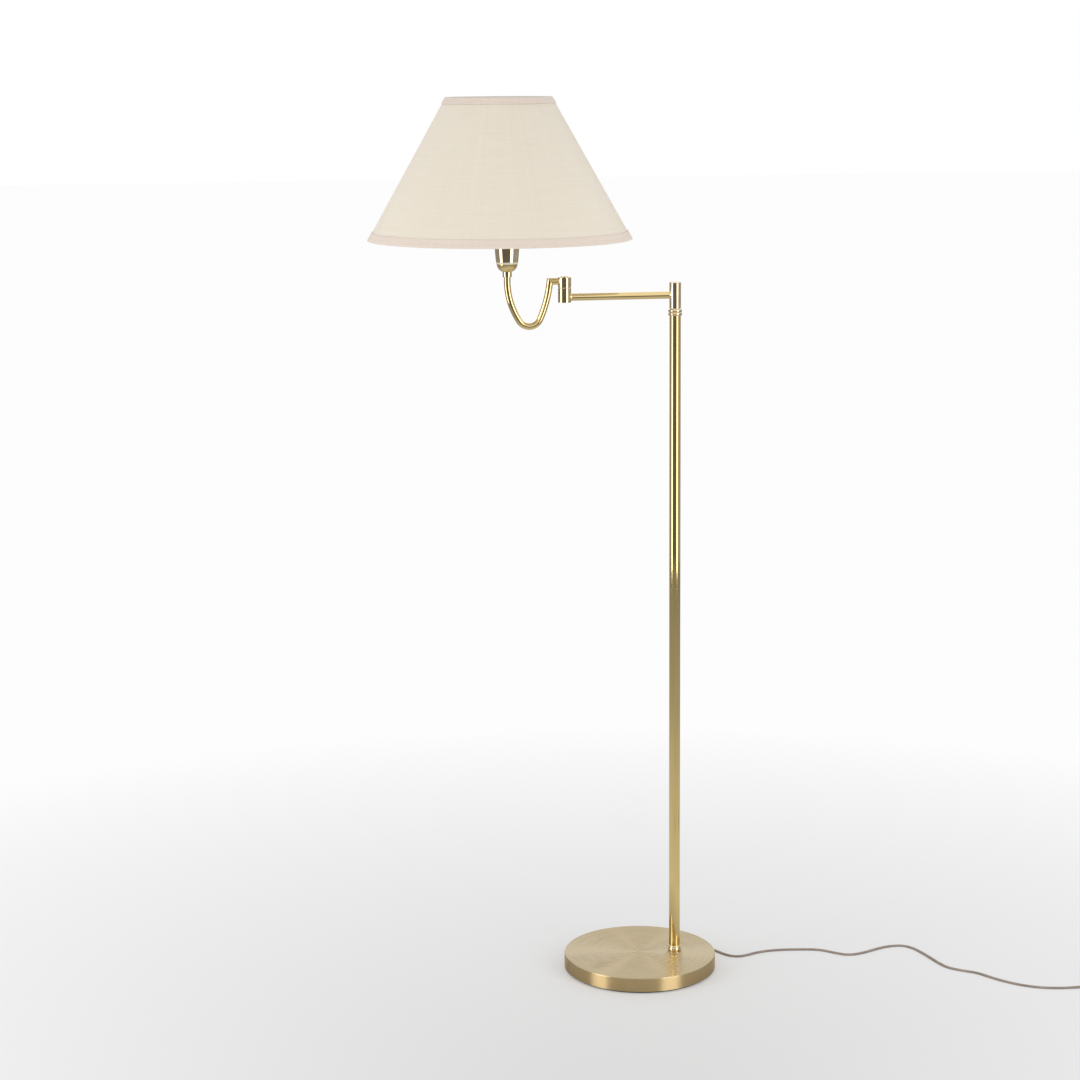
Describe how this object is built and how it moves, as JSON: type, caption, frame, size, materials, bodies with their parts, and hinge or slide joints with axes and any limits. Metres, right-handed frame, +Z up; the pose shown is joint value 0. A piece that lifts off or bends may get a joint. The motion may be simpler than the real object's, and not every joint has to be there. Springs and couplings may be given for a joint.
{
  "type": "bridge floor lamp",
  "caption": "Floor lamp with a weighted round base, an upright pole, a two-part swivel arm with a gooseneck and a tapered cloth shade.",
  "frame": {"origin": "centre of the round base on the floor", "axes": "+Z up; the pole stands on the +X side of the base; at rest both arms point along -X"},
  "size_m": [1.3065, 0.4618, 1.4348],
  "materials": {
    "brass": "aged, polished, lacquered",
    "contact_brass": "bright",
    "iron": "raw casting",
    "felt": "pressed felt",
    "steel": "zinc plated",
    "slip_washer": "smooth",
    "wire_insulation": "smooth",
    "ceramic": "unglazed",
    "seam_ring": "smooth",
    "bulb_base": "rolled thread",
    "bulb_glass": "frosted",
    "frame_wire": "satin",
    "shade_cloth": "fine linen weave",
    "shade_trim": "folded band",
    "cord": "smooth",
    "moulded": "satin",
    "rocker": "smooth"
  },
  "bodies": {
    "base_and_pole": {"base_cover": "brass", "base_weight": "iron", "base_felt": "felt", "cord_bush": "moulded", "foot_nipple": "steel", "foot_nut": "steel", "foot_washer": "steel", "pole_foot_insert": "steel", "pole_foot_collar": "brass", "pole_tube": "brass", "pole_head": "brass", "swivel_rod": "steel", "swivel_washers": "slip_washer", "swivel_nut": "steel", "pole_lead": "wire_insulation", "supply_cord": "cord", "switch_lower_shell": "moulded", "switch_upper_shell": "moulded", "switch_screws": "steel", "switch_contacts": "contact_brass", "cord_coil": "cord", "plug_body": "moulded", "plug_pins": "contact_brass"},
    "inner_arm": {"swivel_barrel": "brass", "swivel_cap": "brass", "inner_arm_tube": "brass", "elbow_lower_knuckle": "brass", "elbow_bottom_plug": "brass", "arm_lead": "wire_insulation"},
    "outer_arm_and_shade": {"elbow_rod": "steel", "elbow_washers": "slip_washer", "elbow_nut": "steel", "elbow_upper_knuckle": "brass", "elbow_button": "brass", "stub_tube": "brass", "gooseneck_tube": "brass", "socket_lock_nut": "brass", "socket_cap": "brass", "socket_seam_ring": "seam_ring", "socket_shell": "brass", "socket_insulator": "ceramic", "socket_screw_shell": "contact_brass", "socket_centre_contact": "contact_brass", "bulb_screw_base": "bulb_base", "bulb_glass": "bulb_glass", "harp_saddle": "steel", "shade_ring_nut": "brass", "shade_harp": "steel", "harp_stud": "steel", "shade_finial": "brass", "shade_top_frame": "frame_wire", "shade_bottom_ring": "frame_wire", "shade_cover": "shade_cloth", "shade_bottom_trim": "shade_trim", "shade_top_trim": "shade_trim", "head_lead": "wire_insulation"},
    "switch_rocker_body": {"switch_rocker": "rocker"}
  },
  "joints": [
    {"name": "arm_swivel", "type": "hinge", "parent": "base_and_pole", "child": "inner_arm", "pos_m": [0.059, 0, 1.118], "axis": [0, 0, 1], "range_deg": [-170, 170]},
    {"name": "elbow_swivel", "type": "hinge", "parent": "inner_arm", "child": "outer_arm_and_shade", "pos_m": [-0.121, 0, 1.133], "axis": [0, 0, 1], "range_deg": [-150, 150]},
    {"name": "switch_rocker", "type": "hinge", "parent": "base_and_pole", "child": "switch_rocker_body", "pos_m": [0.74484, -0.23833, 0.012], "axis": [0.1045, 0.9945, 0], "range_deg": [-10, 0]}
  ]
}
